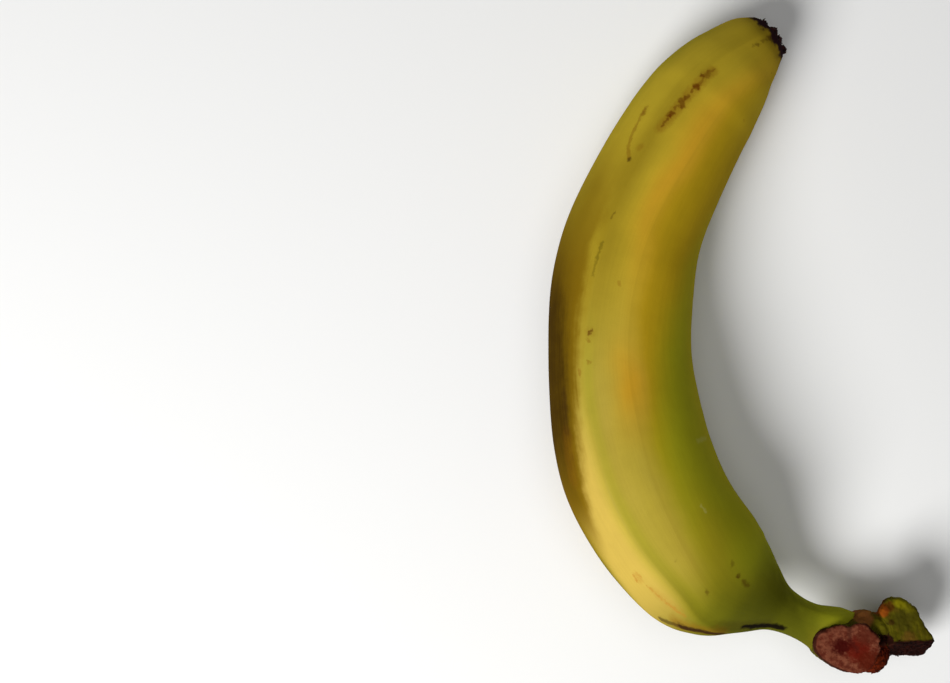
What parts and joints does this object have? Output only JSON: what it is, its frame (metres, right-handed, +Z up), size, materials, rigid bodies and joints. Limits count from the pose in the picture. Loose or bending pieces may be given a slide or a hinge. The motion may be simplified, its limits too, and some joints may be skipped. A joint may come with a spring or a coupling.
{
  "type": "plantain",
  "caption": "Curved plantain lying on its side, ridged from end to end, with its stalk, a torn piece of crown and a dried flower end.",
  "frame": {"origin": "on the surface the plantain lies on, under the middle of its bounding box", "axes": "+Z up from the surface, +Y from the stalk end to the flower end, +X towards the hollow side of the curve"},
  "size_m": [0.1238, 0.2122, 0.0478],
  "materials": {
    "peel": "satin",
    "crown_cut": "matte",
    "flower_end": "matte"
  },
  "bodies": {
    "root": {"plantain": "peel"}
  },
  "joints": []
}
